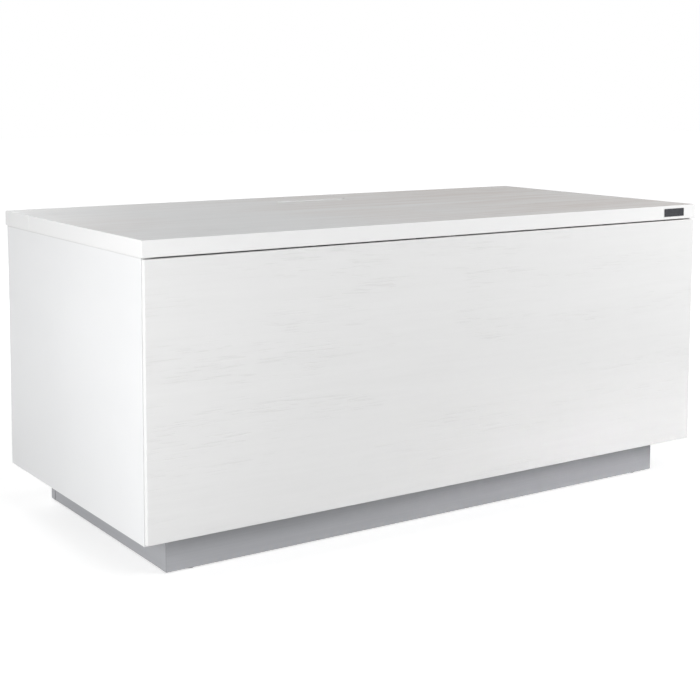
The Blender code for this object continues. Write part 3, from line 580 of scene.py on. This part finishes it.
def fitting(name, meshes, material, slot, body, *nodes):
    """One piece of the scene from these meshes, riding on a body, in place of any nodes named."""
    whole = bmesh.new()
    for mesh in meshes:
        part = bpy.data.meshes.new(name)
        mesh.to_mesh(part)
        mesh.free()
        whole.from_mesh(part)
        bpy.data.meshes.remove(part)
    bmesh.ops.recalc_face_normals(whole, faces=whole.faces)
    data = bpy.data.meshes.new(name)
    whole.to_mesh(data)
    whole.free()
    data.materials.append(material)
    data.shade_smooth()
    data.set_sharp_from_angle(angle=FITTING_EDGE_ANGLE)
    piece = bpy.data.objects.new(name, data)
    bpy.context.scene.collection.objects.link(piece)
    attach(piece, body)
    if nodes:
        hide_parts(*nodes)


def steel(name, meshes, body, *nodes):
    """A fitting of zinc-plated steel."""
    fitting(name, meshes, STEEL, "plated_steel", body, *nodes)


def middle(node):
    low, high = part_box(node)
    return (low + high) / 2


def end_middle(node, way):
    """The middle of a node's right end for way 1, or of its left end for way -1."""
    low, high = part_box(node)
    return Vector((high.x if way > 0 else low.x, *middle(node).yz))


def length_along_x(node):
    low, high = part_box(node)
    return high.x - low.x


TO_REAR = (0, 1, 0)
UPWARDS = (0, 0, 1)
HINGE_SIDES = (("left", 1), ("middle", 1), ("right", -1))
STAY_SIDES = (("left", 1), ("right", -1))
FLUSH_RISE = 0.0001

# Hinges: screws in the plates and arms, and riveted pins
HINGE_SCREW = {"radius": 0.0037, "rise": 0.00035}
HINGE_SCREW_RISES = (0.022, 0.042)
PIVOT_RIVET = {"radius": 0.005, "rise": 0.0018, "shank": 0.003}
FLAP_SCREW = {"radius": 0.0036, "rise": 0.0014}
ARM_SHEET = 0.0025
ARM_SCREW_INSET = 0.010
ARM_SCREW_DROPS = (0.009, 0.031)

for tag, way in HINGE_SIDES:
    plate = f"hinge_plate_{tag}"
    face = end_middle(plate, way)
    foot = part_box(plate)[0].z
    steel(
        f"hinge_screws_{tag}",
        [
            place(screw_head(**HINGE_SCREW), (face.x, face.y, foot + rise), (way, 0, 0))
            for rise in HINGE_SCREW_RISES
        ],
        "cabinet",
    )
    pin = f"pivot_pin_{tag}"
    steel(
        f"pivot_rivet_{tag}",
        [place(rivet(length_along_x(pin), **PIVOT_RIVET), end_middle(pin, -way), (way, 0, 0))],
        "cabinet",
        pin,
    )
    arm = f"flap_arm_{tag}"
    low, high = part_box(arm)
    across = end_middle(arm, way).x - way * ARM_SCREW_INSET
    steel(
        f"arm_screws_{tag}",
        [
            place(screw_head(**FLAP_SCREW), (across, low.y + ARM_SHEET, high.z - drop), TO_REAR)
            for drop in ARM_SCREW_DROPS
        ],
        "flap",
    )

# Stays: screws and riveted pins of the anchors on the flap
ANCHOR_SCREW_INSET = 0.008
STAY_RIVET = {"radius": 0.0045, "rise": 0.0016, "shank": 0.0025}

for tag, way in STAY_SIDES:
    anchor = f"stay_anchor_{tag}"
    low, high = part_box(anchor)
    across = end_middle(anchor, way).x - way * ANCHOR_SCREW_INSET
    steel(
        f"anchor_screws_{tag}",
        [
            place(screw_head(**FLAP_SCREW), (across, low.y + ARM_SHEET, height), TO_REAR)
            for height in (low.z + ANCHOR_SCREW_INSET, high.z - ANCHOR_SCREW_INSET)
        ],
        "flap",
    )
    pin = f"stay_pin_{tag}"
    steel(
        f"stay_rivet_{tag}",
        [place(rivet(length_along_x(pin), **STAY_RIVET), end_middle(pin, -way), (way, 0, 0))],
        "flap",
        pin,
    )

# Stays: screws in the flanges on the sides, and the brake on each housing
FLANGE_SHEET = 0.0025
FLANGE_SCREW = {"radius": 0.0036, "rise": FLUSH_RISE}
FLANGE_SCREW_INSET = 0.0055
BRAKE_PAD = {"reach": 0.0085, "radius": 0.0060, "rise": 0.0008}
BRAKE_SCREW = {"radius": 0.0040, "rise": 0.0011, "outline": SLOT, "reach": 0.72}

for tag, way in STAY_SIDES:
    base = f"stay_base_{tag}"
    low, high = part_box(base)
    flange = end_middle(base, -way)
    face = flange.x + way * FLANGE_SHEET
    steel(
        f"stay_base_screws_{tag}",
        [
            place(screw_head(**FLANGE_SCREW), (face, depth, flange.z), (way, 0, 0))
            for depth in (low.y + FLANGE_SCREW_INSET, high.y - FLANGE_SCREW_INSET)
        ],
        "cabinet",
    )
    centre = end_middle(f"stay_housing_{tag}", way)
    eye = middle(f"stay_pin_{tag}")
    tilt = math.atan2(centre.z - eye.z, centre.y - eye.y)
    fitting(
        f"stay_brake_pad_{tag}",
        [place_tilted(oval_pad(**BRAKE_PAD), centre, way, tilt)],
        PLASTIC,
        "grey_plastic",
        f"{tag}_housing",
    )
    pad_top = centre + Vector((way * BRAKE_PAD["rise"], 0.0, 0.0))
    steel(
        f"stay_brake_screw_{tag}",
        [place_tilted(screw_head(**BRAKE_SCREW), pad_top, way, tilt)],
        f"{tag}_housing",
    )

# Latch: screws in its housing and its strike
LATCH_SCREW = {"radius": 0.0029, "rise": 0.0010}
LATCH_SCREW_INSET = 0.010
STRIKE_SCREW = {"radius": 0.0034, "rise": FLUSH_RISE}

low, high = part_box("latch_housing")
face = end_middle("latch_housing", -1)
steel(
    "latch_screws",
    [
        place(screw_head(**LATCH_SCREW), (face.x, depth, face.z), (-1, 0, 0))
        for depth in (low.y + LATCH_SCREW_INSET, high.y - LATCH_SCREW_INSET)
    ],
    "cabinet",
)
centre = middle("latch_strike")
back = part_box("latch_strike")[1].y
steel(
    "strike_screw",
    [place(screw_head(**STRIKE_SCREW), (centre.x, back, centre.z), TO_REAR)],
    "flap",
)

# Turned shelf pins: the end in the board, a collar and the end under the shelf
SHELF_PIN_PROFILE = [
    (0.0021, 0.0),
    (0.0025, 0.0005),
    (0.0025, 0.0065),
    (0.0036, 0.0065),
    (0.0038, 0.0067),
    (0.0038, 0.0074),
    (0.0035, 0.0077),
    (0.0025, 0.0077),
    (0.0025, 0.0144),
    (0.0022, 0.0149),
    (0.0014, 0.0152),
]
SHELF_PIN_SIDES = 24

for bay, inner_way in (("left", -1), ("right", 1)):
    for end, way in (("inner", inner_way), ("outer", -inner_way)):
        for depth in ("front", "rear"):
            node = f"shelf_pin_{bay}_{end}_{depth}"
            pin = turned(SHELF_PIN_PROFILE, SHELF_PIN_SIDES)
            steel(
                f"turned_{node}",
                [place(pin, end_middle(node, -way), (way, 0, 0))],
                "cabinet",
                node,
            )

# Rear screws with a cross recess
REAR_SCREW = {"radius": 0.0036, "rise": 0.0018}
REAR_SHANK_PROFILE = [(0.0005, 0.0), (0.0018, 0.0025), (0.0018, 0.0133)]
REAR_SHANK_SIDES = 16
REAR_SCREW_COUNT = 6

for number in range(1, REAR_SCREW_COUNT + 1):
    node = f"rear_screw_{number}"
    low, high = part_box(node)
    centre = middle(node)
    seat = high.y - REAR_SCREW["rise"]
    shank = turned(REAR_SHANK_PROFILE, REAR_SHANK_SIDES)
    steel(
        f"cross_{node}",
        [
            place(screw_head(**REAR_SCREW), (centre.x, seat, centre.z), TO_REAR),
            place(shank, (centre.x, low.y, centre.z), TO_REAR),
        ],
        "cabinet",
        node,
    )

# Round glides under the plinth
GLIDE_PROFILE = [(0.0050, 0.0), (0.0060, 0.0002), (0.0065, 0.0007), (0.0065, 0.0015)]
GLIDE_SIDES = 40

for corner in ("front_left", "front_right", "rear_left", "rear_right"):
    node = f"glide_{corner}"
    centre = middle(node)
    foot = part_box(node)[0].z
    fitting(
        f"round_{node}",
        [place(turned(GLIDE_PROFILE, GLIDE_SIDES), (centre.x, centre.y, foot), UPWARDS)],
        PLASTIC,
        "grey_plastic",
        "cabinet",
        node,
    )

# White covers over the cam fittings that hold the top, high on the inner faces of the boards
CAM_COVER_PROFILE = [(0.0085, -0.0001), (0.0085, 0.0003), (0.0080, 0.0006), (0.0062, 0.0008)]
CAM_COVER_SIDES = 36
CAM_DROP = 0.034
SIDE_CAM_DEPTHS = (-0.190, -0.030, 0.100)
PARTITION_CAM_DEPTHS = (-0.150, 0.080)

cover_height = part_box("side_panel_left")[1].z - CAM_DROP
for name, board, way, depths in (
    ("side_left", "side_panel_left", 1, SIDE_CAM_DEPTHS),
    ("side_right", "side_panel_right", -1, SIDE_CAM_DEPTHS),
    ("partition_left", "centre_partition", -1, PARTITION_CAM_DEPTHS),
    ("partition_right", "centre_partition", 1, PARTITION_CAM_DEPTHS),
):
    face = end_middle(board, way).x
    fitting(
        f"cam_covers_{name}",
        [
            place(turned(CAM_COVER_PROFILE, CAM_COVER_SIDES), (face, depth, cover_height), (way, 0, 0))
            for depth in depths
        ],
        CAP_WHITE,
        "white_inside",
        "cabinet",
    )


# Studio

WHITE = (1.0, 1.0, 1.0, 1.0)
WHITE_BACKGROUND = 1.0
AMBIENT_COLOUR = (0.97, 0.985, 1.0, 1.0)
AMBIENT_LIGHT = 0.175
FLOOR_REACH = 14.0
FLOOR_GREY = (0.55, 0.55, 0.55, 1.0)
OPEN_BEAM = 180.0
FLOOR_GLOW = {"From Min": 0.6, "From Max": 1.6, "To Min": 0.62, "To Max": 1.0}


def any_ray(tree, *kinds):
    """1 for rays of these kinds and 0 for others."""
    path = tree.nodes.new("ShaderNodeLightPath")
    found = path.outputs[kinds[0]]
    for kind in kinds[1:]:
        either = tree.nodes.new("ShaderNodeMath")
        either.operation = "MAXIMUM"
        tree.links.new(found, either.inputs[0])
        tree.links.new(path.outputs[kind], either.inputs[1])
        found = either.outputs["Value"]
    return found


def studio_floor():
    """A pale floor with the object's soft shadow, which the camera sees lifted to white."""
    mesh = bpy.data.meshes.new("floor")
    near, far = -FLOOR_REACH, FLOOR_REACH
    corners = [(near, near, 0), (far, near, 0), (far, far, 0), (near, far, 0)]
    mesh.from_pydata(corners, [], [(0, 1, 2, 3)])
    floor = bpy.data.objects.new("floor", mesh)
    bpy.context.scene.collection.objects.link(floor)
    material = bpy.data.materials.new("pale_floor")
    material.use_nodes = True
    tree = material.node_tree
    nodes, link = tree.nodes, tree.links.new
    nodes.clear()
    pale = nodes.new("ShaderNodeBsdfDiffuse")
    pale.inputs["Color"].default_value = FLOOR_GREY
    spot = nodes.new("ShaderNodeTexCoord")
    distance = nodes.new("ShaderNodeVectorMath")
    distance.operation = "LENGTH"
    rise = nodes.new("ShaderNodeMapRange")
    rise.interpolation_type = "SMOOTHSTEP"
    for socket, value in FLOOR_GLOW.items():
        rise.inputs[socket].default_value = value
    glow = nodes.new("ShaderNodeEmission")
    lifted = nodes.new("ShaderNodeAddShader")
    either = nodes.new("ShaderNodeMixShader")
    out = nodes.new("ShaderNodeOutputMaterial")
    link(spot.outputs["Object"], distance.inputs[0])
    link(distance.outputs["Value"], rise.inputs["Value"])
    link(rise.outputs["Result"], glow.inputs["Strength"])
    link(pale.outputs["BSDF"], lifted.inputs[0])
    link(glow.outputs["Emission"], lifted.inputs[1])
    link(any_ray(tree, "Is Camera Ray", "Is Glossy Ray"), either.inputs["Fac"])
    link(pale.outputs["BSDF"], either.inputs[1])
    link(lifted.outputs["Shader"], either.inputs[2])
    link(either.outputs["Shader"], out.inputs["Surface"])
    floor.data.materials.append(material)


def studio_world():
    """White where the camera or a reflection sees it, and a dimmer soft light on the object."""
    world = bpy.data.worlds.new("studio")
    bpy.context.scene.world = world
    world.use_nodes = True
    tree = world.node_tree
    nodes, link = tree.nodes, tree.links.new
    nodes.clear()
    light = nodes.new("ShaderNodeBackground")
    light.inputs["Color"].default_value = AMBIENT_COLOUR
    light.inputs["Strength"].default_value = AMBIENT_LIGHT
    white = nodes.new("ShaderNodeBackground")
    white.inputs["Color"].default_value = WHITE
    white.inputs["Strength"].default_value = WHITE_BACKGROUND
    either = nodes.new("ShaderNodeMixShader")
    out = nodes.new("ShaderNodeOutputWorld")
    seen = any_ray(tree, "Is Camera Ray", "Is Glossy Ray", "Is Transmission Ray")
    link(seen, either.inputs["Fac"])
    link(light.outputs["Background"], either.inputs[1])
    link(white.outputs["Background"], either.inputs[2])
    link(either.outputs["Shader"], out.inputs["Surface"])


def softbox(name, where, target, size, power, beam=OPEN_BEAM):
    """A rectangular lamp that the camera does not see, with its beam's angle in degrees."""
    lamp = bpy.data.lights.new(name, "AREA")
    lamp.shape = "RECTANGLE"
    lamp.size, lamp.size_y = size
    lamp.energy = power
    lamp.spread = math.radians(beam)
    made = bpy.data.objects.new(name, lamp)
    made.location = where
    made.visible_camera = False
    made.rotation_mode = "QUATERNION"
    made.rotation_quaternion = (Vector(target) - Vector(where)).to_track_quat("-Z", "Y")
    bpy.context.scene.collection.objects.link(made)


studio_floor()
studio_world()
softbox(
    "key_left",
    where=(-1.70, -0.85, 0.48),
    target=(-0.5, -0.15, 0.10),
    size=(1.0, 0.8),
    power=17.4,
)
softbox(
    "front_right",
    where=(1.45, -1.72, 1.25),
    target=(0.25, -0.25, 0.26),
    size=(1.6, 1.2),
    power=38.8,
)
softbox(
    "low_right",
    where=(1.8, -1.4, 0.05),
    target=(0.45, -0.2, 0.020),
    size=(0.7, 0.06),
    power=0.10,
    beam=14.0,
)
softbox(
    "rear",
    where=(-0.5, 3.0, 1.4),
    target=(0.0, 0.25, 0.22),
    size=(2.2, 1.4),
    power=59.0,
)
softbox(
    "rear_low",
    where=(0.5, 2.3, 0.26),
    target=(0.0, 0.25, 0.24),
    size=(1.6, 0.36),
    power=9.0,
)


# Camera at the photograph's viewing angle, its turns in degrees

CAMERA_PLACE = (-1.28385, -1.86080, 0.66891)
CAMERA_TURNS = (84.20875, -0.21641, -34.03998)
CAMERA_LENS = 70.589
CAMERA_SENSOR = 36.0
CAMERA_SHIFT = -0.18


def photo_camera():
    data = bpy.data.cameras.new("photo_camera")
    data.sensor_width = CAMERA_SENSOR
    data.lens = CAMERA_LENS
    data.shift_y = CAMERA_SHIFT
    made = bpy.data.objects.new("photo_camera", data)
    turn = Euler([math.radians(angle) for angle in CAMERA_TURNS]).to_matrix().to_4x4()
    made.matrix_world = Matrix.Translation(CAMERA_PLACE) @ turn
    bpy.context.scene.collection.objects.link(made)
    bpy.context.scene.camera = made


photo_camera()
bpy.context.scene.view_settings.view_transform = "Standard"
